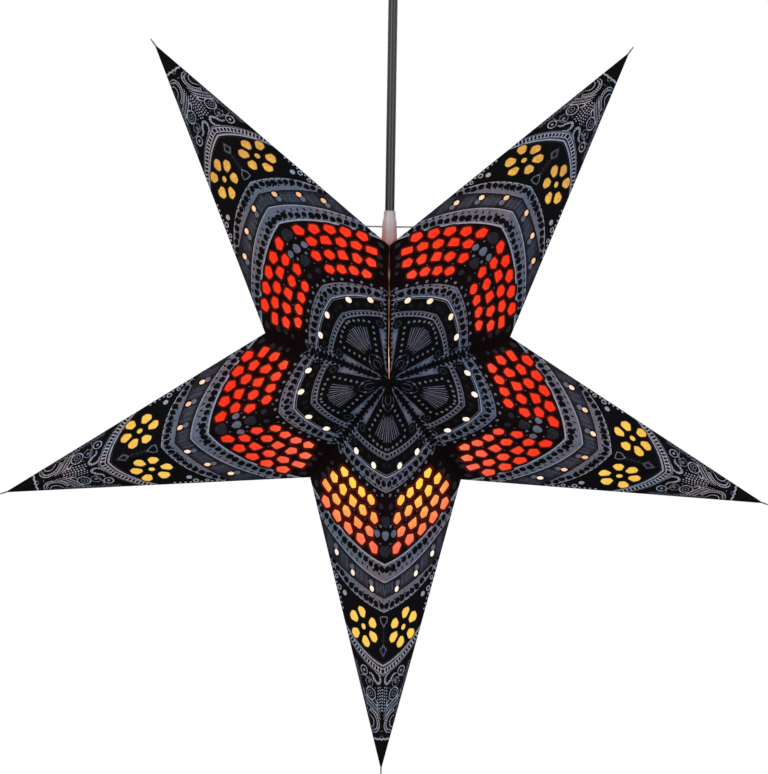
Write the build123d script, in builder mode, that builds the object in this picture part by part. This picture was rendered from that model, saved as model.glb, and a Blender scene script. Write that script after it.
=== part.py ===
from build123d import *
import math
import os

# Lengths are in millimetres and angles in degrees. The origin is the centre of the ceiling face,
# +Z is up, and the star hangs below it with its front towards -Y.

# Star body
arm_count = 5
tip_radius = 316.0  # star centre to the point where the facets of an arm meet
notch_radius = 101.6  # star centre to the notch between two arms
half_depth = 90.0  # middle plane to the front centre, and to the back centre
star_drop = 350.0  # ceiling face to the star centre

# Papers
card_thickness = 0.5
backing_thickness = 0.2
glue_gap = 0.06  # left between two glued sheets
seam_width = 8.0  # flap that each arm turns inwards along its seams
slit_gap = 1.6  # the one seam that stays open, between the two upper arms
tip_spike_length = 6.5  # each arm's paper is pinched to a fine end
tip_spike_radius = 0.5

# Mosaic of windows on each facet: rows on arcs about a point on the fold between two facets
mosaic_centre_inset = 21.6  # that point's distance from the star's front or back centre
mosaic_rows = [
    {"radius": 118.8, "first": 6.5, "step": 7.2, "count": 5, "across": 8.8, "along": 9.6},
    {"radius": 107.2, "first": 9.7, "step": 7.4, "count": 5, "across": 7.4, "along": 9.4},
    {"radius": 94.3, "first": 8.3, "step": 7.7, "count": 5, "across": 8.4, "along": 8.8},
    {"radius": 80.9, "first": 12.1, "step": 7.95, "count": 4, "across": 8.2, "along": 8.2},
]
window_slant = 0.22  # how far a window's outer side is shifted along its row, as a share of its length

# Flower of windows on each facet: its distances along the fold and square to it
flower_from_tip = 118.0
flower_from_fold = 23.6
petal_count = 6
petal_turn = 10.0
petal_inner = 8.2
petal_outer = 17.2
petal_inner_width = 4.2
petal_outer_width = 8.2

# Backing papers, each cut square to its arm
yellow_from_tip = 97.0
yellow_length = 41.0
yellow_to_white = 8.5  # card left bare between the flowers' paper and the next
white_outer_length = 31.9
red_from_centre = 69.7  # star centre to the red paper's inner edge
white_inner_length = 16.6
paper_gap = 0.1  # between one paper's edge and the next paper's

# Lamp
cord_radius = 3.75
cord_clearance = 0.1
cap_above_notch = 27.4
cap_top_radius = 5.8
cap_neck_above_notch = 2.4  # where the neck starts to taper
cap_neck_radius = 7.3
cap_shoulder_below_notch = 12.6
cap_cone_height = 29.0  # holder to the neck
cap_wall = 1.6
cap_grip_depth = 14.0  # length of cord held in the cap
cap_edge = 1.2
cap_skirt = 8.0  # the straight rim of the cap, over the holder's spigot
holder_length = 38.0
holder_radius = 19.0
holder_floor = 4.0
holder_edge = 1.5
spigot_height = 6.0
bulb_base_radius = 13.2
bulb_base_length = 27.0
bulb_contact_radius = 7.2
bulb_contact_height = 5.0
bulb_neck_radius = 13.6
bulb_neck_curve = 14.0
bulb_radius = 30.0
bulb_length = 84.0  # globe and neck, below the holder's mouth
shell_wall = 0.6
shell_recess = 2.4  # the screw shell's edge above the holder's mouth
lamp_clearance = 0.4
fit_clearance = 0.1

# Tie string that holds the two upper arms together behind the cap
string_radius = 0.6
string_above_notch = 14.9
string_hole_clearance = 0.35
knot_radius = 1.4
knot_length = 2.8
knot_edge = 0.5
knot_inset = 8.5  # sideways, from the side fold that the string passes through
knot_forward = 2.5  # knots' distance in front of the middle plane

# Ceiling rose
rose_radius = 34.0
rose_height = 22.0
rose_edge = 5.0
rose_wall = 2.0
plate_thickness = 2.5
plate_screw_spacing = 42.0
plate_screw_radius = 2.3
block_length = 24.0
block_width = 12.0
block_height = 9.0
block_edge = 1.0
grip_radius = 6.5
grip_length = 12.0
grip_tip_radius = 5.2

half_angle = 180.0 / arm_count
notch_x = notch_radius * math.cos(math.radians(half_angle))
notch_y = notch_radius * math.sin(math.radians(half_angle))
fold_length = math.hypot(tip_radius, half_depth)
mosaic_centre = fold_length - mosaic_centre_inset

# Heights above the star centre
cap_top_height = notch_radius + cap_above_notch
cap_neck_height = notch_radius + cap_neck_above_notch
cap_shoulder_height = notch_radius - cap_shoulder_below_notch
holder_top_height = cap_shoulder_height - cap_cone_height
holder_bottom_height = holder_top_height - holder_length
string_height = notch_radius + string_above_notch

# Each paper's outer and inner edge, from the star centre along its arm: the yellow and outer white
# papers follow the tip, the inner white paper follows the centre, and the red paper fills the rest
yellow_band = (tip_radius - yellow_from_tip, tip_radius - yellow_from_tip - yellow_length)
white_outer_edge = yellow_band[1] - yellow_to_white
white_outer_band = (white_outer_edge, white_outer_edge - white_outer_length)
red_band = (white_outer_band[1] - paper_gap, red_from_centre)
white_inner_band = (red_band[1] - paper_gap, red_band[1] - paper_gap - white_inner_length)
arm_angles = {
    "top_left": 90 + half_angle,
    "top_right": 90 - half_angle,
    "right": 90 - 3 * half_angle,
    "bottom": 90 - 5 * half_angle,
    "left": 90 + 3 * half_angle,
}
slit_sides = {"top_left": -1, "top_right": 1}
os.makedirs("parts", exist_ok=True)


def facet_plane(side, face):
    """A facet in its arm's own frame: X out along the arm, Z to the front, x_dir tip to centre."""
    outwards = (
        half_depth * notch_y,
        side * half_depth * (tip_radius - notch_x),
        face * tip_radius * notch_y,
    )
    to_centre = (-tip_radius, 0, face * half_depth)
    return Plane(origin=(tip_radius, 0, 0), x_dir=to_centre, z_dir=outwards)


def seam_plane(side):
    """The plane through the star's axis and one notch of the arm, facing out of the arm."""
    turn = math.radians(half_angle)
    outwards = (-math.sin(turn), side * math.cos(turn), 0)
    return Plane(origin=(0, 0, 0), x_dir=(0, 0, 1), z_dir=outwards)


def arm_wedge(facet_inset, seam_insets):
    """The space between an arm's four facets and its two seam planes, each moved inwards."""
    with BuildPart() as wedge:
        with BuildSketch():
            with Locations((tip_radius / 2, 0)):
                Rectangle(tip_radius + 4 * seam_width, 2 * notch_radius)
        extrude(amount=half_depth, both=True)
        for side in (1, -1):
            for face in (1, -1):
                split(bisect_by=facet_plane(side, face).offset(-facet_inset), keep=Keep.BOTTOM)
            split(bisect_by=seam_plane(side).offset(-seam_insets[side]), keep=Keep.BOTTOM)
    return wedge.part


def seam_gaps(slit_side):
    """How far each seam flap stands back from its seam plane."""
    return {side: slit_gap / 2 if side == slit_side else glue_gap / 2 for side in (1, -1)}


# A seam flap is as deep, measured on the seam plane, as a facet moved inwards by this distance
facet_to_seam = facet_plane(1, 1).z_dir.get_angle(seam_plane(1).z_dir)
flap_inset = seam_width * math.sin(math.radians(facet_to_seam))


def window_sketch(side, face):
    """All windows of one facet, drawn on the facet."""
    hand = -side * face
    with BuildSketch(facet_plane(side, face)) as windows:
        for row in mosaic_rows:
            lean = window_slant * row["along"]
            for index in range(row["count"]):
                turn = row["first"] + index * row["step"]
                centre_u = mosaic_centre - row["radius"] * math.cos(math.radians(turn))
                centre_v = row["radius"] * math.sin(math.radians(turn))
                with Locations(Location((centre_u, hand * centre_v), -hand * turn)):
                    Polygon(
                        (-row["across"] / 2, hand * (lean - row["along"] / 2)),
                        (row["across"] / 2, -hand * (lean + row["along"] / 2) * 0.8),
                        (row["across"] / 2, hand * (row["along"] / 2 - lean)),
                        (-row["across"] / 2, hand * (lean + row["along"] / 2) * 0.8),
                        align=None,
                    )
        for index in range(petal_count):
            turn = petal_turn + index * 360 / petal_count
            with Locations(Location((flower_from_tip, hand * flower_from_fold), hand * turn)):
                Polygon(
                    (petal_inner, -petal_inner_width / 2),
                    (petal_outer, -petal_outer_width / 2),
                    (petal_outer, petal_outer_width / 2),
                    (petal_inner, petal_inner_width / 2),
                    align=None,
                )
    return windows.sketch


def folded_arm(slit_side):
    """One arm of folded card, with its seam flaps and windows, in the arm's own frame."""
    gaps = seam_gaps(slit_side)
    behind_flaps = {side: gaps[side] + card_thickness for side in gaps}
    past_seams = {side: -seam_width for side in gaps}
    with BuildPart() as arm:
        add(arm_wedge(0, gaps))
        add(arm_wedge(card_thickness, behind_flaps), mode=Mode.SUBTRACT)
        add(arm_wedge(flap_inset, past_seams), mode=Mode.SUBTRACT)
        for side in (1, -1):
            for face in (1, -1):
                extrude(window_sketch(side, face), amount=2 * card_thickness, both=True, mode=Mode.SUBTRACT)
        with BuildSketch(Plane.YZ.offset(tip_radius - 3 * tip_spike_radius)):
            Circle(tip_spike_radius)
        extrude(amount=tip_spike_length)
    return arm.part


def backing_band(band, slit_side, faces):
    """Thin paper that lines an arm's facets on the given faces, between two cuts across the arm."""
    gaps = seam_gaps(slit_side)
    outer_face = card_thickness + glue_gap
    clear_of_flaps = {side: gaps[side] + outer_face for side in gaps}
    past_seams = {side: -seam_width for side in gaps}
    with BuildPart() as strip:
        add(arm_wedge(outer_face, clear_of_flaps))
        add(arm_wedge(outer_face + backing_thickness, past_seams), mode=Mode.SUBTRACT)
        split(bisect_by=Plane.YZ.offset(band[0]), keep=Keep.BOTTOM)
        split(bisect_by=Plane.YZ.offset(band[1]), keep=Keep.TOP)
        if len(faces) == 1:
            split(bisect_by=Plane.XY, keep=Keep.TOP if faces[0] == 1 else Keep.BOTTOM)
    return strip.part


def in_star(part, angle):
    """Puts a part from an arm's own frame into the star, on the arm at that angle."""
    turn = math.radians(angle)
    frame = Plane(
        origin=(0, 0, -star_drop), x_dir=(math.cos(turn), 0, math.sin(turn)), z_dir=(0, -1, 0)
    )
    return part.moved(frame.location)


def cap_profile(clearance):
    """Half section of the outside of the cap and the holder, to one side of the lamp's axis."""
    low = holder_bottom_height - star_drop
    shoulder = cap_shoulder_height - star_drop
    body_top = holder_top_height - star_drop
    with BuildSketch(Plane.XZ) as profile:
        with BuildLine():
            Polyline(
                (0, low - clearance),
                (holder_radius + clearance, low - clearance),
                (holder_radius + clearance, body_top + cap_skirt),
                (cap_neck_radius + clearance, shoulder + clearance),
                (cap_neck_radius + clearance, cap_neck_height - star_drop),
                (cap_top_radius + clearance, cap_top_height - star_drop - cap_edge),
                (cap_top_radius + clearance - cap_edge, cap_top_height - star_drop + clearance),
                (0, cap_top_height - star_drop + clearance),
                close=True,
            )
        make_face()
    return profile.sketch


# Tie string: its line lies level, touches the back of the cap and ends in a knot in each arm
string_z = string_height - star_drop
cap_slope = (cap_neck_radius - cap_top_radius) / (cap_top_height - cap_neck_height)
cap_at_string = cap_neck_radius - cap_slope * (string_height - cap_neck_height)
string_bend = cap_at_string + lamp_clearance + string_radius
tip_x = tip_radius * math.sin(math.radians(half_angle))
tip_height = tip_radius * math.cos(math.radians(half_angle))
side_fold_x = tip_x * (string_height - notch_radius) / (tip_height - notch_radius)
knot_reach = side_fold_x + knot_inset
string_turn = math.asin(string_bend / math.hypot(knot_reach, knot_forward))
string_slope = math.degrees(string_turn + math.atan2(knot_forward, knot_reach))
string_peak = string_bend / math.cos(math.radians(string_slope))

with BuildPart() as tie_string:
    with BuildLine() as string_path:
        FilletPolyline(
            (-knot_reach, -knot_forward, string_z),
            (0, string_peak, string_z),
            (knot_reach, -knot_forward, string_z),
            radius=string_bend,
        )
    with BuildSketch(string_path.line ^ 0):
        Circle(string_radius)
    sweep()
    for end in (0, 1):
        with BuildSketch(string_path.line ^ end):
            Circle(knot_radius)
        extrude(amount=knot_length / 2, both=True)
    rims = tie_string.edges().filter_by(GeomType.CIRCLE)
    chamfer(rims.filter_by(lambda edge: abs(edge.radius - knot_radius) < knot_edge), knot_edge)

# The room that the lamp and the string need through the two upper arms
with BuildPart() as lamp_room:
    revolve(cap_profile(lamp_clearance), axis=Axis.Z)
with BuildPart() as string_room:
    for hand in (1, -1):
        leg = Plane(
            origin=(0, string_peak, string_z),
            z_dir=(hand, -math.tan(math.radians(string_slope)), 0),
        )
        with BuildSketch(leg):
            Circle(string_radius + string_hole_clearance)
        extrude(amount=knot_reach)

# Arms and their backing papers
plain_arm = folded_arm(0)
for name, angle in arm_angles.items():
    slit_side = slit_sides.get(name, 0)
    with BuildPart() as arm:
        add(in_star(folded_arm(slit_side) if slit_side else plain_arm, angle))
        if slit_side:
            add(lamp_room.part, mode=Mode.SUBTRACT)
            add(string_room.part, mode=Mode.SUBTRACT)
    arm.part.label = f"arm_{name}"
    export_step(arm.part, f"parts/arm_{name}.step")
    bands = {
        "yellow_paper": (yellow_band, (1, -1)),
        "white_paper_outer": (white_outer_band, (1, -1)),
        "red_paper": (red_band, (1, -1)),
        "white_paper_front": (white_inner_band, (1,)),
        "white_paper_back": (white_inner_band, (-1,)),
    }
    for paper, (band, faces) in bands.items():
        with BuildPart() as backing:
            add(in_star(backing_band(band, slit_side, faces), angle))
            if slit_side:
                add(lamp_room.part, mode=Mode.SUBTRACT)
                add(string_room.part, mode=Mode.SUBTRACT)
        backing.part.label = f"{paper}_{name}"
        export_step(backing.part, f"parts/{paper}_{name}.step")

# Cap of the lamp holder: the tapered neck that shows in the notch, hollow over the holder
cap_floor_z = cap_top_height - cap_grip_depth - star_drop
with BuildPart() as holder_cap:
    revolve(cap_profile(0), axis=Axis.Z)
    split(bisect_by=Plane.XY.offset(holder_top_height - star_drop), keep=Keep.TOP)
    with BuildSketch(Plane.XY.offset(cap_top_height - star_drop)):
        Circle(cord_radius + cord_clearance)
    extrude(amount=-cap_grip_depth, mode=Mode.SUBTRACT)
    with BuildSketch(Plane.XZ) as hollow:
        with BuildLine():
            Polyline(
                (0, holder_top_height - star_drop),
                (holder_radius - cap_wall, holder_top_height - star_drop),
                (holder_radius - cap_wall, holder_top_height + cap_skirt - star_drop),
                (cap_neck_radius - cap_wall, cap_shoulder_height - cap_wall - star_drop),
                (0, cap_shoulder_height - cap_wall - star_drop),
                close=True,
            )
        make_face()
    revolve(axis=Axis.Z, mode=Mode.SUBTRACT)

# Holder: a cup for the bulb's base, closed at the top by its floor, with a spigot inside the cap
bore_radius = bulb_base_radius + shell_wall + lamp_clearance
mouth_z = holder_bottom_height - star_drop
body_length = holder_top_height - holder_bottom_height - glue_gap
with BuildPart() as holder_body:
    with BuildSketch(Plane.XY.offset(mouth_z)):
        Circle(holder_radius)
    extrude(amount=body_length)
    chamfer(holder_body.edges().group_by(Axis.Z)[0], holder_edge)
    with BuildSketch(Plane.XY.offset(mouth_z + body_length)):
        Circle(holder_radius - cap_wall - fit_clearance)
    extrude(amount=spigot_height)
    with BuildSketch(Plane.XY.offset(mouth_z)):
        Circle(bore_radius)
    extrude(amount=body_length - holder_floor, mode=Mode.SUBTRACT)

# Metal screw shell inside the holder
with BuildPart() as screw_shell:
    with BuildSketch(Plane.XY.offset(mouth_z + shell_recess)):
        Circle(bore_radius - fit_clearance)
        Circle(bore_radius - fit_clearance - shell_wall, mode=Mode.SUBTRACT)
    extrude(amount=body_length - holder_floor - shell_recess - glue_gap)

# Bulb: base, neck and round globe, one sealed piece
globe_z = mouth_z - bulb_length + bulb_radius
curve_x = bulb_neck_radius + bulb_neck_curve
curve_rise = math.sqrt((bulb_radius + bulb_neck_curve) ** 2 - curve_x**2)
curve_turn = math.degrees(math.atan2(curve_rise, curve_x))
with BuildPart() as bulb:
    with BuildSketch(Plane.XZ):
        with BuildLine():
            Polyline(
                (0, globe_z - bulb_radius),
                (0, mouth_z + bulb_base_length),
                (bulb_contact_radius, mouth_z + bulb_base_length),
                (bulb_base_radius, mouth_z + bulb_base_length - bulb_contact_height),
                (bulb_base_radius, mouth_z),
                (bulb_neck_radius, mouth_z),
                (bulb_neck_radius, globe_z + curve_rise),
            )
            CenterArc((curve_x, globe_z + curve_rise), bulb_neck_curve, 180, curve_turn)
            CenterArc((0, globe_z), bulb_radius, curve_turn, -90 - curve_turn)
        make_face()
    revolve(axis=Axis.Z)

# Cord, straight and taut from the cap up to the terminal block in the ceiling rose
cord_top_z = -(plate_thickness + block_height + 2 * glue_gap)
with BuildPart() as power_cord:
    with BuildSketch(Plane.XY.offset(cap_floor_z)):
        Circle(cord_radius)
    extrude(amount=cord_top_z - cap_floor_z)

# Ceiling rose: a hollow cover over a plate with two screw holes, which carries the terminal block
with BuildPart() as ceiling_rose:
    with BuildSketch():
        Circle(rose_radius)
    extrude(amount=-rose_height)
    chamfer(ceiling_rose.edges().group_by(Axis.Z)[0], rose_edge)
    offset(amount=-rose_wall, openings=ceiling_rose.faces().sort_by(Axis.Z)[-1])
    with BuildSketch(Plane.XY.offset(-rose_height)):
        Circle(cord_radius + cord_clearance)
    extrude(amount=rose_wall, mode=Mode.SUBTRACT)

with BuildPart() as ceiling_plate:
    with BuildSketch():
        Circle(rose_radius - rose_wall - fit_clearance)
        with GridLocations(plate_screw_spacing, 0, 2, 1):
            Circle(plate_screw_radius, mode=Mode.SUBTRACT)
    extrude(amount=-plate_thickness)

with BuildPart() as terminal_block:
    with BuildSketch(Plane.XY.offset(-plate_thickness - glue_gap)):
        Rectangle(block_length, block_width)
    extrude(amount=-block_height)
    chamfer(terminal_block.edges().group_by(Axis.Z)[0], block_edge)

with BuildPart() as cord_grip:
    with BuildSketch(Plane.XY.offset(-rose_height)):
        Circle(grip_radius)
    with BuildSketch(Plane.XY.offset(-rose_height - grip_length)):
        Circle(grip_tip_radius)
    loft()
    with BuildSketch(Plane.XY.offset(-rose_height)):
        Circle(cord_radius + cord_clearance)
    extrude(amount=-grip_length, mode=Mode.SUBTRACT)

lamp_parts = {
    "holder_cap": holder_cap,
    "holder_body": holder_body,
    "screw_shell": screw_shell,
    "bulb": bulb,
    "power_cord": power_cord,
    "tie_string": tie_string,
    "ceiling_rose": ceiling_rose,
    "ceiling_plate": ceiling_plate,
    "terminal_block": terminal_block,
    "cord_grip": cord_grip,
}
for name, piece in lamp_parts.items():
    piece.part.label = name
    export_step(piece.part, f"parts/{name}.step")
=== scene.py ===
import math
import random

import bmesh
import bpy
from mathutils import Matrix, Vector, geometry


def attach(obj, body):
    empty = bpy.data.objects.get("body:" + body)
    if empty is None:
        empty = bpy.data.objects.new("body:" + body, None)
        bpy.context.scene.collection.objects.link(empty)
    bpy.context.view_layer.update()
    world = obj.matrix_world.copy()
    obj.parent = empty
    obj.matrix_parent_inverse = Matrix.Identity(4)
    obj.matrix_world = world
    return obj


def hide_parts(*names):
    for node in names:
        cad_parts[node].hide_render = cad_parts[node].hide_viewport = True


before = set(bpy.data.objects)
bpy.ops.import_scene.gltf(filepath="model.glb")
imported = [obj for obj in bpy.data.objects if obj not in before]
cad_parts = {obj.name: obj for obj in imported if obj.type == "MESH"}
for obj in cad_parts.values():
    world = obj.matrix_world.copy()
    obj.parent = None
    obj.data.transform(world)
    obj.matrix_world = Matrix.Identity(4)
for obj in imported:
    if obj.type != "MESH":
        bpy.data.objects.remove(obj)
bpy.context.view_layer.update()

bpy.ops.object.select_all(action="DESELECT")
print("frame loaded")

mm = 0.001
armAngles = {"top_left": 126, "top_right": 54, "right": -18, "bottom": -90, "left": 198}
slitSides = {"top_left": -1, "top_right": 1}    # the side of the seam that stays open

star = {
    "tipRadius": 316.0,      # all sizes in mm
    "notchRadius": 101.6,
    "halfDepth": 90.0,
    "drop": 350.0,           # ceiling to the star's centre
    "cardThickness": 0.5,
    "flapWidth": 8.0,
}
halfAngle = math.radians(36)
starCentre = Vector((0, 0, -star["drop"])) * mm


# Materials

def toLinear(hexColour):
    parts = [int(hexColour[i:i + 2], 16) / 255 for i in (1, 3, 5)]
    return [p / 12.92 if p <= 0.04045 else ((p + 0.055) / 1.055) ** 2.4 for p in parts] + [1.0]


def addNode(tree, kind, settings=None, links=None):
    made = tree.nodes.new(kind)
    for name, value in (settings or {}).items():
        if isinstance(name, str) and hasattr(made, name):
            setattr(made, name, value)
        else:
            made.inputs[name].default_value = value
    for name, source in (links or {}).items():
        tree.links.new(source, made.inputs[name])
    return made


def newMaterial(name, settings):
    material = bpy.data.materials.new(name)
    material.use_nodes = True
    tree = material.node_tree
    shader = tree.nodes["Principled BSDF"]
    for socket, value in settings.items():
        shader.inputs[socket].default_value = value
    place = addNode(tree, "ShaderNodeTexCoord").outputs["Object"]
    return material, tree, shader, place


def setStops(ramp, stops):
    # Pairs of position and colour on a colour ramp, which starts with two stops of its own
    made = ramp.color_ramp.elements
    while len(made) < len(stops):
        made.new(0.5)
    for stop, (position, colour) in zip(made, stops):
        stop.position = position
        stop.color = toLinear(colour)


def mottled(tree, place, dark, light, patch, low=0.3, high=0.7, detail=4.0):
    # Noise between two colours, with patches of the given size in mm
    grain = addNode(tree, "ShaderNodeTexNoise", {"Scale": 1 / (patch * mm), "Detail": detail},
                    {"Vector": place})
    ramp = addNode(tree, "ShaderNodeValToRGB", links={"Fac": grain.outputs["Fac"]})
    setStops(ramp, [(low, dark), (high, light)])
    return ramp.outputs["Color"]


def paperGrain(tree, shader, place, strength, depth):
    # Felt marks of the sheet, drawn 1.5 mm wide so that they show, with finer fibres on top
    feltMark = 1.5
    felt = addNode(tree, "ShaderNodeTexNoise", {"Scale": 1 / (feltMark * mm), "Detail": 6.0},
                   {"Vector": place})
    bump = addNode(tree, "ShaderNodeBump", {"Strength": strength, "Distance": depth * mm},
                   {"Height": felt.outputs["Fac"]})
    tree.links.new(bump.outputs["Normal"], shader.inputs["Normal"])


def inkedPaper(name, dark, light, roughness, patch=2.2, paintedReflectionTint=False):
    # Screen-printed card: matt ink that covers a little unevenly over the felt of the sheet
    material, tree, shader, place = newMaterial(name, {"Roughness": roughness, "Specular IOR Level": 0.02})
    colour = mottled(tree, place, dark, light, patch)
    if paintedReflectionTint:      # a metallic grey with painted reflections of coloured light: it turns to mauve and to blue in clouds 55 mm wide
        clouds = mottled(tree, place, "#fff1f6", "#dfefff", 55.0, 0.42, 0.58, 1.0)
        mixed = addNode(tree, "ShaderNodeMix", {"data_type": "RGBA", "blend_type": "MULTIPLY", 0: 1.0},
                        {6: colour, 7: clouds})
        colour = mixed.outputs[2]
    tree.links.new(colour, shader.inputs["Base Color"])
    paperGrain(tree, shader, place, 0.35, 0.12)
    return material


# Light through each sheet: how much more a distance counts sideways, how far the sheet's clouds and fibres
# shift its steps, and the colour at distances in mm from the lamp
glow = {
    "place": (0, 0, -0.398),    # low in the bulb's globe
    "strength": 0.95,
    "cloud": 15.0,              # mm
    "fibre": 2.2,
    "ink": {"sideways": 1.4, "clouds": 0.3, "fibres": 0.06, "steps": [
        (64, "#4c1008"), (88, "#3a0b06"), (112, "#1a0504"), (140, "#080202"), (160, "#000000")]},
    "red": {"sideways": 1.4, "clouds": 0.05, "fibres": 0.12, "steps": [
        (64, "#ffdc50"), (75, "#ffac56"), (85, "#ff8258"), (98, "#ff6c52"), (118, "#fb5c3c"),
        (138, "#fb4424"), (172, "#fa3214")]},
    "yellow": {"sideways": 1.0, "clouds": 0.1, "fibres": 0.5, "steps": [
        (160, "#f8ce5c"), (190, "#f4c656"), (216, "#ecb650"), (250, "#cc984c"), (280, "#be8c48")]},
    "white": {"sideways": 1.2, "clouds": 1.1, "fibres": 0.12, "steps": [
        (70, "#fff6e4"), (130, "#ffeed6"), (185, "#fbcfa6"), (230, "#f0ae7c")]},
}


def lampRamp(tree, place, sheet):
    # Colours by distance from the lamp. Its light reaches less far to the sides, where the holder's rim and
    # the folds are in its way
    sideways, clouds, fibres, steps = (glow[sheet][key] for key in ("sideways", "clouds", "fibres", "steps"))
    far = steps[-1][0] * mm
    squeezed = addNode(tree, "ShaderNodeVectorMath", {"operation": "MULTIPLY", 1: (sideways, 1, 1)},
                       {0: place})
    distance = addNode(tree, "ShaderNodeVectorMath", {"operation": "DISTANCE", 1: glow["place"]},
                       {0: squeezed.outputs["Vector"]})
    share = addNode(tree, "ShaderNodeMath", {"operation": "DIVIDE", 1: far}, {0: distance.outputs["Value"]})
    cloud = addNode(tree, "ShaderNodeTexNoise", {"Scale": 1 / (glow["cloud"] * mm), "Detail": 1.0},
                    {"Vector": place})
    shifted = addNode(tree, "ShaderNodeMath", {"operation": "MULTIPLY_ADD", 1: clouds},
                      {0: cloud.outputs["Fac"], 2: share.outputs["Value"]})
    fibre = addNode(tree, "ShaderNodeTexNoise", {"Scale": 1 / (glow["fibre"] * mm), "Detail": 4.0},
                    {"Vector": place})
    uneven = addNode(tree, "ShaderNodeMath",
                     {"operation": "MULTIPLY_ADD", 1: fibres, 2: -(fibres + clouds) / 2},
                     {0: fibre.outputs["Fac"]})
    total = addNode(tree, "ShaderNodeMath", {"operation": "ADD"},
                    {0: shifted.outputs["Value"], 1: uneven.outputs["Value"]})
    ramp = addNode(tree, "ShaderNodeValToRGB", links={"Fac": total.outputs["Value"]})
    setStops(ramp, [(reach * mm / far, colour) for reach, colour in steps])
    return ramp.outputs["Color"]


def litTissue(name, baseColour, sheet):
    # Tissue paper with the lamp behind it: it glows by itself, paler nearer to the bulb
    material, tree, shader, place = newMaterial(
        name, {"Base Color": toLinear(baseColour), "Roughness": 0.8, "Specular IOR Level": 0.1,
               "Emission Strength": glow["strength"]})
    tree.links.new(lampRamp(tree, place, sheet), shader.inputs["Emission Color"])
    paperGrain(tree, shader, place, 0.2, 0.05)
    return material


def letLightThrough(material):
    # The black ink between the red panes lets a little of the lamp's light through, close to the bulb
    tree = material.node_tree
    shader = tree.nodes["Principled BSDF"]
    place = addNode(tree, "ShaderNodeTexCoord").outputs["Object"]
    shader.inputs["Emission Strength"].default_value = glow["strength"]
    tree.links.new(lampRamp(tree, place, "ink"), shader.inputs["Emission Color"])


inkLooks = {
    # name, dark and light colour, roughness, patches in mm, and painted reflection tint
    "black": ("blackInkOnCard", "#050506", "#0d0d0f", 0.62),
    "silver": ("silverGreyInkOnCard", "#a3a5ac", "#cfd0d6", 0.55, 2.2, True),
    "slate": ("slateInkOnCard", "#6c6e78", "#8a8c96", 0.55, 2.2, True),
    "blue": ("blueGreyInkOnCard", "#4a5262", "#697587", 0.55, 2.2, True),
    "dark": ("darkGreyInkOnCard", "#212126", "#33333a", 0.6),
    "smoke": ("smokyInkOnCard", "#131316", "#1f1f23", 0.6),
    "mosaic": ("blackInkOverLight", "#070405", "#140607", 0.62),
    "netting": ("blackInkBetweenPanes", "#070405", "#140607", 0.62),
    "ember": ("inkEdgeWithRedLightThrough", "#440a05", "#701408", 0.62),
    "amber": ("inkEdgeWithYellowLightThrough", "#231708", "#3a270c", 0.62),
    "inside": ("bareCardInside", "#d9cfc2", "#ebe3d8", 0.85),
    "edge": ("cutCardEdge", "#4c4844", "#77716a", 0.85),
    "thread": ("twistedPaperEnd", "#5c5a5c", "#8a8789", 0.8, 0.7),
}
inks = {ink: inkedPaper(*look) for ink, look in inkLooks.items()}
letLightThrough(inks["netting"])
inkOrder = list(inks)
tissues = {
    "red_paper": litTissue("redTissueLit", "#5c0c06", "red"),
    "yellow_paper": litTissue("yellowTissueLit", "#6a480c", "yellow"),
    "white_paper": litTissue("whiteTissueLit", "#706860", "white"),
}
print("paper materials made")


# The print on one facet, in mm: u along the fold from the tip, v square to it

foldLength = math.hypot(star["tipRadius"], star["halfDepth"])
notchBack = star["tipRadius"] - star["notchRadius"] * math.cos(halfAngle)      # tip to notch, along the arm
notchAside = star["notchRadius"] * math.sin(halfAngle)
notchU = notchBack * star["tipRadius"] / foldLength
notchV = math.sqrt(notchBack ** 2 + notchAside ** 2 - notchU ** 2)
sideSlope = notchV / notchU                # of the side fold, which runs from the tip to the notch
dice = random.Random(7)


def disc(u, v, radius, sides=10, wobble=0.0):
    turn = dice.uniform(0, 6.28)
    shape = []
    for i in range(sides):
        angle = turn + i * 2 * math.pi / sides
        reach = radius * (1 + wobble * dice.uniform(-1, 1))
        shape.append((u + reach * math.cos(angle), v + reach * math.sin(angle)))
    return shape


def rounded(shape, passes=2, share=0.25):
    for _ in range(passes):
        cut = []
        for i, (u, v) in enumerate(shape):
            nextU, nextV = shape[(i + 1) % len(shape)]
            cut.append(((1 - share) * u + share * nextU, (1 - share) * v + share * nextV))
            cut.append((share * u + (1 - share) * nextU, share * v + (1 - share) * nextV))
        shape = cut
    return shape


def grown(shape, by):
    # The same outline with every corner moved out from the middle
    middleU = sum(u for u, v in shape) / len(shape)
    middleV = sum(v for u, v in shape) / len(shape)
    wider = []
    for u, v in shape:
        reach = math.hypot(u - middleU, v - middleV)
        wider.append((middleU + (u - middleU) * (reach + by) / reach,
                      middleV + (v - middleV) * (reach + by) / reach))
    return wider


def turned(u, v, turn, x, y):
    # A shape's own place x, y, turned about the place u, v on the facet
    return u + x * math.cos(turn) + y * math.sin(turn), v - x * math.sin(turn) + y * math.cos(turn)


def bow(start, sag, power=2.0):
    # A line across the facet that starts square to the fold and bows away from the tip
    return lambda v: start + sag * (abs(v) / 50) ** power


def moved(line, by):
    return lambda v: line(v) + by


def strip(outer, inner, high=92.0, count=32):
    # From just over the fold to where its two lines meet, or past the facet's side edge
    steps = [-1 + (high + 1) * i / count for i in range(count + 1)]
    steps = [v for v in steps if inner(v) - outer(v) > 0.15 and v < sideSlope * inner(v) + 4]
    return [(outer(v), v) for v in steps] + [(inner(v), v) for v in reversed(steps)]


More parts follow.
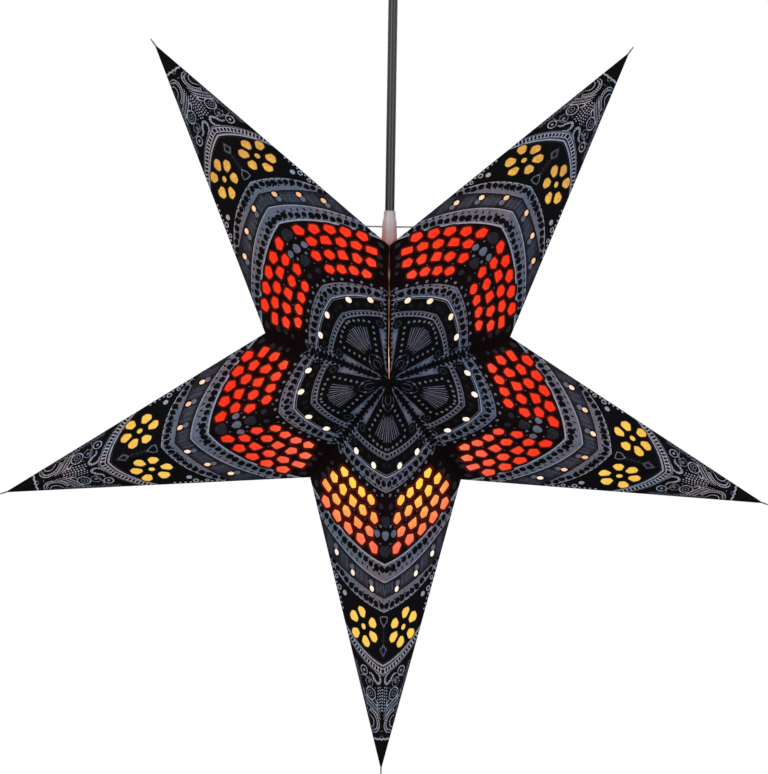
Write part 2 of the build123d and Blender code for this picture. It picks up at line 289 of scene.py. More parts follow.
def spots(line, pitch, first=0.0, last=90.0):
    # Places at even steps along a line, with the line's direction at each
    found = []
    v, travelled, due = 0.0, 0.0, first
    step = 0.1
    while v < last:
        rise = line(v + step) - line(v)
        length = math.hypot(step, rise)
        if travelled + length >= due:
            found.append((line(v), v, math.atan2(rise, step)))
            due += pitch
        travelled += length
        v += step
    return [spot for spot in found if spot[1] < sideSlope * spot[0] + 3]


def slab(u, v, turn, across, along):
    # A small block on a line: across is its size along u, along its size along the line
    corners = ((-1, -1), (1, -1), (1, 1), (-1, 1))
    return [turned(u, v, turn, x * across / 2, y * along / 2) for x, y in corners]


def smoothPath(points, steps=5):
    path = []
    ends = [points[0]] + list(points) + [points[-1]]
    for i in range(1, len(ends) - 2):
        before, here, after, beyond = ends[i - 1:i + 3]
        for k in range(steps):
            t = k / steps
            path.append(tuple(
                0.5 * (2 * here[a] + (after[a] - before[a]) * t
                       + (2 * before[a] - 5 * here[a] + 4 * after[a] - beyond[a]) * t * t
                       + (3 * here[a] - before[a] - 3 * after[a] + beyond[a]) * t ** 3)
                for a in (0, 1)))
    path.append(tuple(points[-1]))
    return path


# What adds to the list of shapes: pairs of ink and outline, where a later one lies on top

def addDot(shapes, ink, u, v, radius, sides=10, wobble=0.0):
    shapes.append((ink, disc(u, v, radius, sides, wobble)))


def addStroke(shapes, ink, points, width, taper=0.35):
    # A brush line through a few points, thinner at both ends
    path = smoothPath(points)
    left, right = [], []
    for i, (u, v) in enumerate(path):
        before, after = path[max(i - 1, 0)], path[min(i + 1, len(path) - 1)]
        du, dv = after[0] - before[0], after[1] - before[1]
        length = math.hypot(du, dv) or 1
        share = i / (len(path) - 1)
        half = width / 2 * (taper + (1 - taper) * math.sin(math.pi * min(max(share, 0.02), 0.98)) ** 0.5)
        left.append((u - dv / length * half, v + du / length * half))
        right.append((u + dv / length * half, v - du / length * half))
    shapes.append((ink, left + right[::-1]))


def addRing(shapes, ink, u, v, radius, width, eye=0.0):
    addDot(shapes, ink, u, v, radius, 16, 0.04)
    addDot(shapes, "black", u, v, radius - width, 14, 0.04)
    if eye:
        addDot(shapes, ink, u, v, eye, 10, 0.06)


def addStripe(shapes, ink, line, start, end, high=92.0, count=32):
    # Between two distances from one line
    shapes.append((ink, strip(moved(line, start), moved(line, end), high, count)))


tipPrint = {
    "clear": 26.0, "line": 1.6,                # the arm's black point, and the wavy line that ends it
    "gridStart": (53.0, 0.4), "gridPitch": (2.6, 2.3), "gridCount": (8, 3), "gridDot": 0.68,
    "shade": [(62, 21.4), (70, 22.2), (78, 26), (86, 29), (90, 36), (64, 25.5)],
    "crescent": [(31, 10.5), (32.5, 6.6), (37.5, 4.0), (43.5, 5.2), (47.5, 9.2), (49, 14)],
    "crescentWidth": 3.1, "crescentDot": 0.98,
    "echo": [(33.5, 12.6), (36.5, 9.4), (41.5, 9.8), (44.5, 14.5)], "echoWidth": 0.75,
    "echoShade": [(35, 13), (38, 12), (42, 13.6), (45, 17.5), (40, 16)],
    "leaf": [(44.5, 1.8), (48, 6.0), (51, 12.0), (53.5, 19.5)],
    "leafStrands": ((0, 0.6), (3.2, 0.6), (6.4, 0.9)),                     # shift along u, and width
    "leafBeads": [(45.5, 4.2), (48.8, 8.4), (51.2, 14), (52.6, 18)],
    "leafBeadShifts": (1.6, 4.8), "leafBead": 0.42,
    "hook": [(84.5, 8.8), (83.0, 4.4), (78.4, 2.6), (74.8, 5.2), (77.0, 9.4), (80.4, 12.2), (80.6, 16.0)],
    "hookWidth": 1.95, "hookDot": 0.55,
    "cornerDots": 4, "cornerStart": (84.2, 26.0), "cornerPitch": (1.3, 1.4), "cornerDot": 0.8,
    "scallops": 12, "scallopStart": 46, "scallopPitch": 3.5, "scallopInset": 1.4, "scallop": (1.6, 0.5),
    "seeds": 18, "seed": 0.38, "seedReach": (28.5, 82),
}


def drawTip(shapes):
    wave = lambda v: tipPrint["clear"] - 0.035 * v * v + 0.5 * math.sin(1.0 * v)
    addStripe(shapes, "silver", wave, 0, tipPrint["line"], 12, 40)
    for i in range(tipPrint["gridCount"][0]):               # dots beside the fold
        for k in range(tipPrint["gridCount"][1]):
            u = tipPrint["gridStart"][0] + tipPrint["gridPitch"][0] * (i + 0.5 * (k % 2))
            v = tipPrint["gridStart"][1] + tipPrint["gridPitch"][1] * k
            addDot(shapes, "silver", u, v, tipPrint["gridDot"], 8)
    shapes.append(("dark", tipPrint["shade"]))              # dark grey ground near the side fold
    addStroke(shapes, "silver", tipPrint["crescent"], tipPrint["crescentWidth"], 0.7)
    for u, v in smoothPath(tipPrint["crescent"], 3)[1:-1]:
        addDot(shapes, "black", u, v, tipPrint["crescentDot"], 7)
    addStroke(shapes, "silver", tipPrint["echo"], tipPrint["echoWidth"])
    shapes.append(("dark", tipPrint["echoShade"]))
    for shift, width in tipPrint["leafStrands"]:
        addStroke(shapes, "silver", [(u + shift, v) for u, v in tipPrint["leaf"]], width, 0.5)
    for shift in tipPrint["leafBeadShifts"]:
        for u, v in smoothPath([(u + shift, v) for u, v in tipPrint["leafBeads"]], 4):
            addDot(shapes, "silver", u, v, tipPrint["leafBead"], 6)
    addRing(shapes, "silver", 63.4, 13.2, 5.6, 0.75)        # rings with scrolls between them
    addRing(shapes, "slate", 63.6, 13.8, 3.0, 0.7, 0.8)
    addStroke(shapes, "silver", [(60, 8.2), (57, 4.8), (55, 7.5)], 1.1)
    addStroke(shapes, "slate", [(58, 16.5), (60, 20.5), (65, 21.4)], 1.4)
    addRing(shapes, "slate", 73.0, 15.2, 4.3, 0.65, 1.4)
    addDot(shapes, "black", 71.0, 22.6, 2.1, 12, 0.05)
    addStroke(shapes, "silver", tipPrint["hook"], tipPrint["hookWidth"], 0.4)
    for u, v in smoothPath(tipPrint["hook"][1:], 2):
        addDot(shapes, "black", u, v, tipPrint["hookDot"], 6)
    addStroke(shapes, "slate", [(76.2, 9.5), (74.8, 14.5), (76.6, 20), (75.2, 25)], 1.2)
    addRing(shapes, "silver", 81.0, 21.4, 4.1, 0.7, 1.1)
    for i in range(tipPrint["cornerDots"]):
        u, v = (tipPrint["cornerStart"][a] + tipPrint["cornerPitch"][a] * i for a in (0, 1))
        addDot(shapes, "black", u, v, tipPrint["cornerDot"], 7)
    for i in range(tipPrint["scallops"]):                   # along the side fold
        u = tipPrint["scallopStart"] + tipPrint["scallopPitch"] * i
        addRing(shapes, "slate", u, sideSlope * u - tipPrint["scallopInset"], *tipPrint["scallop"])
    for _ in range(tipPrint["seeds"]):
        u = dice.uniform(*tipPrint["seedReach"])
        addDot(shapes, "silver", u, dice.uniform(0.5, sideSlope * u - 4), tipPrint["seed"], 6)


ladder = {"outer": bow(84.0, 29), "rungs": bow(87.6, 29), "clean": bow(92.4, 26), "pitch": 3.2,
          "rung": (3.5, 2.05), "reach": 46, "cleanReach": 50}


def drawLadder(shapes):
    outer, rungs, clean, reach = ladder["outer"], ladder["rungs"], ladder["clean"], ladder["reach"]
    addStripe(shapes, "slate", outer, -0.6, 0.3, reach)
    shapes.append(("silver", strip(moved(outer, 1.0), moved(rungs, 2.4), reach)))
    for u, v, turn in spots(rungs, ladder["pitch"], 0.8, reach):
        shapes.append(("black", rounded(slab(u - 0.1, v, turn, *ladder["rung"]), 1, 0.2)))
    for ink, start, end in (("slate", -1.1, 1.0), ("silver", -0.3, 0.9), ("dark", 2.2, 2.8)):
        addStripe(shapes, ink, clean, start, end, ladder["cleanReach"])


# On the fold, so that each facet holds half of it
lance = {
    "outlines": [
        ("dark", [(98.5, 0), (105, 5.2), (112.5, 0), (105, -5.2)]),
        ("slate", [(100.5, 0), (105.2, 3.7), (110.8, 0), (105.2, -3.7)]),
        ("dark", [(101.6, 0), (105.3, 2.9), (109.7, 0), (105.3, -2.9)]),
        ("black", [(104, 0), (106.0, 1.3), (108, 0), (106.0, -1.3)]),
        ("dark", [(111, -0.7), (111, 0.7), (127.5, 0.7), (127.5, -0.7)]),
        ("slate", [(125.5, 0), (129.5, 4.2), (133.5, 4.4), (135.5, 0), (133.5, -4.4), (129.5, -4.2)]),
        ("black", [(127.4, 0), (130.0, 3.2), (133.0, 3.5), (134.6, 0), (133.0, -3.5), (130.0, -3.2)]),
    ],
    "beads": (113.5, 117, 120.5, 124), "beadAside": 2.2, "bead": 0.7,
}


def drawLance(shapes):
    shapes += lance["outlines"]
    for u in lance["beads"]:
        addDot(shapes, "dark", u, lance["beadAside"], lance["bead"], 7)


sideDots = {"disc": (139.6, 45.2, 2.3), "rings": ((142.4, 51.6, 2.4), (150.6, 55.2, 1.9)), "ringShare": 0.42,
            "beadInset": 4.4, "beadPitch": 4.2, "beadStart": 118.0, "beadReach": (47, 66), "bead": 0.95}


def drawSideDots(shapes):
    addDot(shapes, "silver", *sideDots["disc"], 14, 0.05)
    for u, v, radius in sideDots["rings"]:
        addRing(shapes, "silver", u, v, radius, radius * sideDots["ringShare"])
    low, high = sideDots["beadReach"]
    row = lambda v: v / sideSlope + sideDots["beadInset"]                  # beside the side fold
    for u, v, turn in spots(row, sideDots["beadPitch"], sideDots["beadStart"], high):
        if v > low:
            addDot(shapes, "silver", u, v, sideDots["bead"])


# Bands across the arm. A chain's "beside" has its small dots: distance from the line, and radius
bandA = {"outer": bow(138.6, 13, 2.6), "chain": bow(142.8, 13, 2.6), "inner": bow(150.8, 10), "pitch": 6.0,
         "stone": 3.0, "beside": ((-3.3, 0.8), (3.5, 1.0))}
bandB = {"inner": bow(163.2, 14.4), "windows": [(154, 14.5), (160, 36.5), (171, 55.5)], "windowRadius": 2.6,
         "hatch": ((0, 10), (19, 32), (41, 51), (60, 70)), "lines": (0.1, 0.22, 0.86)}
bandC = {"outer": bow(163.6, 14.4), "chain": bow(174.0, 13.4), "inner": bow(180.2, 13.6), "pitch": 6.4,
         "stone": 3.3, "beside": ((-4.2, 1.1), (-5.6, 0.7), (3.8, 1.1))}
hatch = {"pitch": 1.25, "outerGap": 1.0, "innerGap": 0.9, "lean": 0.9, "width": 0.35}


def drawChain(shapes, band):
    # Rough black stones in a row, with small dots on both sides of it
    pitch = band["pitch"]
    for u, v, turn in spots(band["chain"], pitch, pitch / 2):
        place = (u + dice.uniform(-0.6, 0.6), v)
        stone = disc(*place, band["stone"] * dice.uniform(0.9, 1.1), 6, 0.16)
        shapes.append(("black", rounded(stone, 1, 0.2)))
        for shift, size in band["beside"]:
            du = shift + dice.uniform(-0.3, 0.3)
            dv = pitch / 2 + dice.uniform(-0.6, 0.6)
            addDot(shapes, "black", u + du, v + dv, size * dice.uniform(0.75, 1.2), 7, 0.1)


def drawHatch(shapes, outer, inner, low, high):
    # Fine leaning strokes across a band
    lean, width = hatch["lean"], hatch["width"]
    v = low
    while v < high:
        share = dice.uniform(0.0, 0.12)
        start, end = outer(v) + hatch["outerGap"], inner(v) - hatch["innerGap"]
        if v < sideSlope * start:
            ink = "slate" if dice.random() < 0.4 else "blue"
            start, end = start + share * (end - start), end - share
            shapes.append((ink, [(start, v), (end, v + lean), (end, v + (lean + width)), (start, v + width)]))
        v += hatch["pitch"]


def drawOuterBands(shapes):
    shapes.append(("slate", strip(bandA["outer"], bandA["inner"])))
    addStripe(shapes, "silver", bandA["outer"], 0, 0.7)
    drawChain(shapes, bandA)
    addStripe(shapes, "black", bandA["inner"], -0.5, 0.3)
    shapes.append(("dark", strip(moved(bandA["inner"], 0.3), bandB["inner"])))
    for low, high in bandB["hatch"]:
        drawHatch(shapes, bandA["inner"], bandB["inner"], low, high)
    for share in bandB["lines"]:
        line = lambda v: (1 - share) * bandA["inner"](v) + share * bandB["inner"](v)
        addStripe(shapes, "black", line, -0.25, 0.25, count=24)
    for u, v in bandB["windows"]:
        addDot(shapes, "black", u, v, 3.7, 14, 0.06)
        addDot(shapes, "slate", u + 5.0, v + 0.8, 2.5, 12, 0.1)
    shapes.append(("black", strip(moved(bandB["inner"], -0.7), moved(bandC["outer"], 0.2))))
    shapes.append(("slate", strip(bandC["outer"], bandC["inner"])))
    addStripe(shapes, "silver", bandC["outer"], 0.2, 1.0)
    drawChain(shapes, bandC)
    addStripe(shapes, "silver", bandC["inner"], -2.0, -0.7)
    addStripe(shapes, "black", bandC["inner"], -0.4, 0)


mosaic = {
    "centre": 307.0,
    # each row's radius, first turn, step in degrees, count, and size across and along
    "rows": [(118.8, 6.5, 7.2, 5, 11.0, 11.9), (107.2, 9.7, 7.4, 5, 10.2, 11.5),
             (94.3, 8.3, 7.7, 5, 10.7, 10.5), (80.9, 12.1, 7.95, 4, 10.3, 9.9)],
    "netting": 2.5, "ember": 1.45,             # how far the inks round a pane reach past it
    "dotsShare": 0.45, "dotsInset": 6.6,       # the small dots between two rows
    "edgeStones": ((212.5, 73.5, 2.4), (231.5, 71.0, 3.0), (238.5, 66.0, 2.4), (225.0, 71.5, 1.8),
                   (245.0, 62.0, 1.9)),
    "pearls": bow(235.4, 20), "pearlPitch": 8.8, "pearl": 1.35,
}
bandE = {"outer": bow(238.6, 20), "chain": bow(244.9, 19), "inner": bow(252.6, 18), "pitch": 6.3,
         "stone": 2.85, "beside": ((-3.8, 1.1), (3.7, 1.4)),
         "windows": [(256.8, 14.8), (262.8, 34.4)], "windowRadius": 2.9}
beads = {"outer": bow(265.2, 19), "squares": bow(267.9, 19), "inner": bow(270.6, 19), "pitch": 3.7,
         "square": 2.3}


def paneOutline(u, v, turn, across, along):
    # An uneven pane with four to six soft corners
    count, fill = dice.choice([(4, 1.12), (5, 1.0), (5, 1.0), (6, 0.96)])
    start = dice.uniform(0, 6.28) if count > 4 else math.pi / 4 + dice.uniform(-0.3, 0.3)
    corners = []
    for i in range(count):
        angle = start + (i + dice.uniform(-0.16, 0.16)) * 2 * math.pi / count
        x = across / 2 * math.cos(angle) * dice.uniform(0.94, 1.08) * fill
        y = along / 2 * math.sin(angle) * dice.uniform(0.94, 1.08) * fill
        corners.append(turned(u, v, turn, x, y))
    return rounded(rounded(corners, 1, 0.12), 1, 0.25)


def drawMosaic(shapes):
    shapes.append(("mosaic", strip(bandC["inner"], bandE["outer"])))
    onGround = len(shapes)
    panes = []
    centre = mosaic["centre"]
    for radius, first, step, count, across, along in mosaic["rows"]:
        for i in range(count):
            turn = math.radians(first + i * step)
            panes.append(paneOutline(centre - radius * math.cos(turn), radius * math.sin(turn),
                                     turn, across, along))
            between = turn - math.radians(step / 2)
            beside = radius - mosaic["dotsInset"]
            if dice.random() < mosaic["dotsShare"]:
                u, v = centre - beside * math.cos(between), beside * math.sin(between)
                addDot(shapes, "slate", u, v, dice.uniform(0.5, 0.95), 7)
    shapes[onGround:onGround] = [("netting", grown(pane, mosaic["netting"])) for pane in panes]
    addDot(shapes, "dark", 189.5, 1.5, 4.9, 14, 0.06)       # grey stones on the fold
    shapes.append(("slate", rounded([(197.8, 9.6), (202.4, 5.2), (206.2, 8.6), (203.0, 13.6)], 2)))
    addDot(shapes, "slate", 203.2, 0, 3.9, 14, 0.06)
    addDot(shapes, "dark", 214.5, 0, 4.9, 14, 0.06)
    for u, v, radius in mosaic["edgeStones"]:
        addDot(shapes, "dark", u, v, radius, 12, 0.12)
    addDot(shapes, "slate", 209.5, 5.6, 1.3)
    addDot(shapes, "dark", 226, 5.5, 2.6, 12, 0.08)
    shapes.append(("dark", rounded([(217.8, 79.5), (222.0, 77.0), (226.6, 79.8), (222.6, 83.0)])))
    for u, v, turn in spots(mosaic["pearls"], mosaic["pearlPitch"], 4.5):
        addDot(shapes, "slate", u, v, mosaic["pearl"], 9, 0.08)
    shapes += [("ember", grown(pane, mosaic["ember"])) for pane in panes]
    shapes += [("window", pane) for pane in panes]


def drawInnerBands(shapes):
    outer, inner = bandE["outer"], bandE["inner"]
    shapes.append(("slate", strip(outer, inner)))
    addStripe(shapes, "black", outer, 1.6, 2.0)
    addStripe(shapes, "blue", inner, -5.0, -1.8)
    drawChain(shapes, bandE)
    for ink, start, end in (("silver", -1.8, -0.9), ("black", -0.9, 0.2), ("slate", 0.2, 0.8)):
        addStripe(shapes, ink, inner, start, end)
    for u, v, turn in spots(moved(inner, 7.4), 8.6, 3.0):
        addDot(shapes, "smoke", u, v, 2.2, 12, 0.1)
    for u, v in bandE["windows"]:
        addDot(shapes, "black", u, v, 3.7, 14, 0.06)
    addStripe(shapes, "slate", beads["outer"], 0, 0.8)
    shapes.append(("slate", strip(moved(beads["outer"], 1.4), beads["inner"])))
    for u, v, turn in spots(beads["squares"], beads["pitch"], 1.2):
        shapes.append(("black", rounded(slab(u + 0.3, v, turn, beads["square"], beads["square"]), 1, 0.2)))


fan = {"centre": 309.0, "dots": 35.5, "outer": 31.0, "inner": 8.0, "spread": 31, "rays": 6, "frameDots": 5,
       "rowStart": (284.5, 19.6), "rowPitch": (4.6, -2.9), "rowCount": 6,
       "eye": (283.6, 27.6), "heart": 7.4,
       "eyeRings": (("black", 4.9, 16, 0.04), ("dark", 3.2, 14, 0.06), ("black", 1.7, 12, 0.06))}
seam = {"start": 46, "end": 86, "raggedStep": 4, "dotStart": 48.3,
        "stones": 17, "pitch": 4.7, "largeStones": 8, "large": 2.3, "small": 1.75,
        "scatter": 20, "scatterStart": 38, "scatterPitch": 2.3}


def seamPlace(along, inset):
    # A place near the seam: its distance along the seam from the notch, and its distance from the seam
    du, dv = foldLength - notchU, -notchV
    length = math.hypot(du, dv)
    du, dv = du / length, dv / length
    return notchU + du * along + dv * inset, notchV + dv * along - du * inset


def drawFan(shapes):
    middle = fan["centre"]
    spread = math.radians(fan["spread"])
    for i in range(fan["rays"]):
        angle = spread * (i + 0.45) / (fan["rays"] + 0.4)
        half = 0.17 * spread / fan["rays"]
        start = fan["inner"] + dice.uniform(0, 6)
        end = fan["outer"] - dice.uniform(0, 1.6)
        ray = [(end, angle - half), (end, angle + half),
               (start, angle + half * 1.3), (start, angle - half * 1.3)]
        shapes.append(("blue" if i % 2 else "slate",
                       [(middle - reach * math.cos(a), reach * math.sin(a)) for reach, a in ray]))
    for k in range(fan["frameDots"]):                       # dotted frame of the fan
        angle = spread * (k + 0.35) / (fan["frameDots"] - 0.9)
        u, v = middle - fan["dots"] * math.cos(angle), fan["dots"] * math.sin(angle)
        addDot(shapes, "slate", u, v, 1.2, 9, 0.08)
    for k in range(fan["rowCount"]):
        u, v = (fan["rowStart"][a] + fan["rowPitch"][a] * k for a in (0, 1))
        addDot(shapes, "slate", u, v, 1.15, 9, 0.08)


def drawSeam(shapes):
    # A ragged strip along the seam, the pale wedge that ends it, and the stones and dots on both
    start, end, step = seam["start"], seam["end"], seam["raggedStep"]
    edge = [seamPlace(start + step * i, 5.0 - 2.0 * (i % 2) * dice.uniform(0.5, 1.0))
            for i in range((end - start) // step + 1)]
    shapes.append(("slate", [seamPlace(start, 1.2)] + edge + [seamPlace(end, 1.2)]))
    shapes.append(("blue", [(287.0, 24.0), (299.0, 16.9), (309.0, 10.8), (319.0, 4.6), seamPlace(129, 0.7),
                            seamPlace(84, 1.2)]))
    shapes.append(("slate", [(289.5, 23.8), (299.0, 17.9), (301.0, 18.6), (293.5, 25.6)]))
    for i in range(seam["stones"]):
        size = (seam["large"] if i < seam["largeStones"] else seam["small"]) * dice.uniform(0.85, 1.15)
        u, v = seamPlace(start + seam["pitch"] * i, 2.3 + 0.8 * (i % 2) - 0.09 * i)
        shapes.append(("black", rounded(disc(u, v, size, 6, 0.14), 1, 0.2)))
        place = seamPlace(seam["dotStart"] + seam["pitch"] * i, 0.9)
        addDot(shapes, "black", *place, dice.uniform(1.0, 1.4), 7)
    for i in range(seam["scatter"]):
        u, v = seamPlace(seam["scatterStart"] + seam["scatterPitch"] * i, dice.uniform(5.2, 8.5))
        if i > 3:
            addDot(shapes, "slate", u, v, dice.uniform(0.35, 0.7), 7)
    for ink, radius, sides, wobble in fan["eyeRings"]:
        addDot(shapes, ink, *fan["eye"], radius, sides, wobble)
    for curve in ([(304, 0.6), (306.4, 4.4), (310, 6.4), (315, 5.2)],
                  [(309, 0.4), (311.4, 3.0), (316.5, 2.2)]):
        addStroke(shapes, "blue", curve, 0.5)
    addDot(shapes, "black", foldLength, 0, fan["heart"], 18, 0.03)         # the points of all five arms


flower = {"place": (118.2, 23.2), "turns": (-113, -57, 10, 65, 134, 194), "inner": 7.4, "outer": 16.4,
          "innerWidth": 4.4, "outerWidth": 10.0, "eye": 2.6, "amber": 0.8}


def drawWindows(shapes):
    wide, narrow = flower["outerWidth"] / 2, flower["innerWidth"] / 2
    inner, outer = flower["inner"], flower["outer"]
    for degrees in flower["turns"]:
        petal = [(inner, -narrow), (outer - 3.4, -wide), (outer, -wide * 0.5), (outer + 0.4, wide * 0.45),
                 (outer - 3.0, wide), (inner, narrow)]
        petal = [(x + dice.uniform(-0.4, 0.4), y + dice.uniform(-0.4, 0.4)) for x, y in petal]
        petal = rounded([turned(*flower["place"], -math.radians(degrees), x, y) for x, y in petal], 1, 0.15)
        shapes.append(("amber", grown(petal, flower["amber"])))
        shapes.append(("window", rounded(petal, 1, 0.2)))
    addDot(shapes, "window", *flower["place"], flower["eye"], 14, 0.04)
    for band in (bandB, bandE):
        for u, v in band["windows"]:
            addDot(shapes, "window", u, v, band["windowRadius"], 14, 0.05)


def facetPrint():
    shapes = []
    for draw in (drawTip, drawLadder, drawSideDots, drawLance, drawOuterBands, drawMosaic, drawInnerBands,
                 drawFan, drawSeam, drawWindows):
        draw(shapes)
    return shapes


def seamAxes(angle, side):
    # Along a seam, out from the star's axis, and square to it, out of the arm
    turn = math.radians(angle) + side * halfAngle
    return (Vector((math.cos(turn), 0, math.sin(turn))),
            Vector((-math.sin(turn) * side, 0, math.cos(turn) * side)))


def facetAxes(angle, side, face):
    # Origin at the arm's tip, u towards the star's centre, v towards the notch, and the facet's outside
    turn = math.radians(angle)
    tip = Vector((math.cos(turn), 0, math.sin(turn))) * star["tipRadius"]
    middle = Vector((0, face * star["halfDepth"], 0))
    notch = seamAxes(angle, side)[0] * star["notchRadius"]
    uAxis = (middle - tip).normalized()
    vAxis = notch - tip
    vAxis = (vAxis - uAxis * vAxis.dot(uAxis)).normalized()
    outside = uAxis.cross(vAxis)
    if outside.y * face < 0:
        outside.negate()
    return tip, uAxis, vAxis, outside


# The open seam, in mm: its width and how much of it the wavering takes, the step between the edge's points,
# the gap between its flaps, how far from the middle plane these start, and what is cut off the facet's point
slit = {"gap": 2.3, "ripple": 0.95, "step": 2.5, "flapGap": 1.2, "flapStart": 20.9, "blunt": 0.8,
        "wave": (0.27, 0.4), "slowWave": 0.083}    # radians per mm and at the start; radians per mm


def slitOutline():
    # The facet beside the open seam: its edge wavers, so the two arms touch here and part there
    edge = []
    length = math.hypot(foldLength - notchU, notchV)
    count = round(length / slit["step"])
    wave, start = slit["wave"]
    for i in range(count + 1):
        along = length * i / count
        ripple = 0.5 + 0.5 * math.sin(along * wave + start) * math.cos(along * slit["slowWave"])
        edge.append(seamPlace(along, slit["gap"] / 2 * (1 - slit["ripple"] * ripple)))
    return [(0, 0), (foldLength - slit["blunt"], 0)] + edge[-2::-1]


def cutFacet(outline, shapes):
    # Every shape's outline cuts the facet, and each small face takes the ink that lies on top there
    points, loops = [], []
    for shape in [outline] + [outlinePoints for ink, outlinePoints in shapes]:
        twiceArea = sum(a[0] * b[1] - b[0] * a[1] for a, b in zip(shape, shape[1:] + shape[:1]))
        loop = list(range(len(points), len(points) + len(shape)))
        loops.append(loop if twiceArea > 0 else loop[::-1])
        points += [Vector(p) for p in shape]
    made = geometry.delaunay_2d_cdt(points, [], loops, 1, 0.0005, True)
    corners, faces, owners = made[0], made[2], made[5]
    kept = []
    for face, owner in zip(faces, owners):
        if 0 not in owner:
            continue
        top = max(owner)                        # 0 is the facet's own outline
        ink = "black" if top == 0 else shapes[top - 1][0]
        if ink != "window":
            kept.append((face, ink))
    return corners, kept


shapes = facetPrint()
plainFacet = cutFacet([(0, 0), (foldLength, 0), (notchU, notchV)], shapes)
slitFacet = cutFacet(slitOutline(), shapes)
print("facet drawn,", len(plainFacet[1]), "faces")


# Where the lamp comes out between the two upper arms, its neck presses their papers apart
neck = {"radius": 8.3, "spread": 12.0, "low": 42.0, "high": 76.0,      # mm, heights above the star's centre
        "fade": 0.06}          # the share of the bulge that is taken off, so that it ends


def pressedByNeck(p, face):
    # Papers stand the neck's radius from its axis, less and less to both sides and downwards
    near = max(0, math.exp(-(p.x / neck["spread"]) ** 2) - neck["fade"]) / (1 - neck["fade"])
    near *= min(1, max(0, (p.z - neck["low"]) / (neck["high"] - neck["low"])))
    return face * math.hypot(p.y, neck["radius"] * near)


# How near counts as on it, in mm: a glued seam, the open one, the middle plane, the axis and another point
touch = {"seam": 0.02, "slit": 0.05, "plane": 0.001, "axis": 0.5, "weld": 0.004}


def addFlap(mesh, name, side, face, angle):
    # The seam's edge is folded in: one face shares all the points along the seam
    radial, outwards = seamAxes(angle, side)
    isSlit = slitSides.get(name) == side
    flapStart = slit["flapStart"] if isSlit else 0
    edgePoints = []
    for vertex in mesh.verts:
        p = vertex.co
        off = p.dot(outwards)
        near = -slit["gap"] / 2 - touch["slit"] < off < touch["slit"] if isSlit else abs(off) < touch["seam"]
        if near and p.y * face > (flapStart or touch["plane"]) and p.dot(radial) > -touch["axis"]:
            if any(edge.is_boundary for edge in vertex.link_edges):
                edgePoints.append(vertex)
    edgePoints.sort(key=lambda v: v.co.dot(radial))
    slope = radial * star["notchRadius"] - Vector((0, face * star["halfDepth"], 0))
    inner = slope.cross(outwards).normalized()
    if inner.y * face > 0:
        inner.negate()
    slope.normalize()
    lowEnd = edgePoints[0].co + inner * star["flapWidth"]
    lowEnd -= slope * lowEnd.dot(radial) / slope.dot(radial)            # on the star's axis
    highEnd = edgePoints[-1].co + inner * star["flapWidth"]
    highEnd -= slope * (highEnd.y - face * flapStart) / slope.y
    for end in (lowEnd, highEnd):
        end -= outwards * (end.dot(outwards) + (slit["flapGap"] / 2 if isSlit else 0))
    made = mesh.faces.new(edgePoints + [mesh.verts.new(highEnd), mesh.verts.new(lowEnd)])
    made.material_index = inkOrder.index("black")
    made.normal_update()
    if made.normal.dot(outwards) < 0:
        made.normal_flip()


spike = [(-1.5, 0.55), (0.5, 0.62), (2.5, 0.5), (4.6, 0.42), (5.0, 0.3)]     # mm past the tip, and radius


def addSpike(mesh, angle):
    # The paper's end, twisted to a thread
    sides = 8
    turn = math.radians(angle)
    out = Vector((math.cos(turn), 0, math.sin(turn)))
    across = Vector((0, 1, 0))
    other = out.cross(across)
    rings = []
    for reach, radius in spike:
        middle = starCentre + out * (star["tipRadius"] + reach) * mm
        rings.append([mesh.verts.new(middle + (across * math.cos(a) + other * math.sin(a)) * radius * mm)
                      for a in [k * 2 * math.pi / sides for k in range(sides)]])
    faces = [mesh.faces.new(rings[0][::-1]), mesh.faces.new(rings[-1])]
    for low, high in zip(rings, rings[1:]):
        for k in range(sides):
            following = (k + 1) % sides
            faces.append(mesh.faces.new((low[k], low[following], high[following], high[k])))
    for made in faces:
        made.material_index = inkOrder.index("thread")
    bmesh.ops.recalc_face_normals(mesh, faces=faces)


def buildArm(name, angle):
    mesh = bmesh.new()
    for side in (1, -1):
        isSlit = slitSides.get(name) == side
        corners, faces = slitFacet if isSlit else plainFacet
        for face in (-1, 1):
            tip, uAxis, vAxis, outside = facetAxes(angle, side, face)
            made = [mesh.verts.new(tip + uAxis * p[0] + vAxis * p[1]) for p in corners]
            for indices, ink in faces:
                small = mesh.faces.new([made[i] for i in indices])
                small.material_index = inkOrder.index(ink)
                small.normal_update()
                if small.normal.dot(outside) < 0:
                    small.normal_flip()
            for vertex in made:
                if not vertex.link_faces:
                    mesh.verts.remove(vertex)
                elif isSlit:
                    vertex.co.y = pressedByNeck(vertex.co, face)
    bmesh.ops.remove_doubles(mesh, verts=mesh.verts, dist=touch["weld"])
    for side in (1, -1):
        for face in (-1, 1):
            addFlap(mesh, name, side, face, angle)
    bmesh.ops.remove_doubles(mesh, verts=mesh.verts, dist=touch["weld"])
    for vertex in mesh.verts:
        vertex.co = vertex.co * mm + starCentre
    data = bpy.data.meshes.new("foldedArm_" + name)
    mesh.to_mesh(data)
    mesh.free()
    arm = bpy.data.objects.new("foldedArm_" + name, data)
    bpy.context.collection.objects.link(arm)
    for ink in inkOrder:
        data.materials.append(inks[ink])
    bpy.context.view_layer.objects.active = arm
    arm.select_set(True)
    thickness = arm.modifiers.new("cardThickness", "SOLIDIFY")
    thickness.thickness = star["cardThickness"] * mm
    thickness.offset = -1
    thickness.use_even_offset = True
    bpy.ops.object.modifier_apply(modifier=thickness.name)
    finishArm(arm, angle)
    arm.select_set(False)
    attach(arm, "root")
    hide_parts("arm_" + name)
    return arm


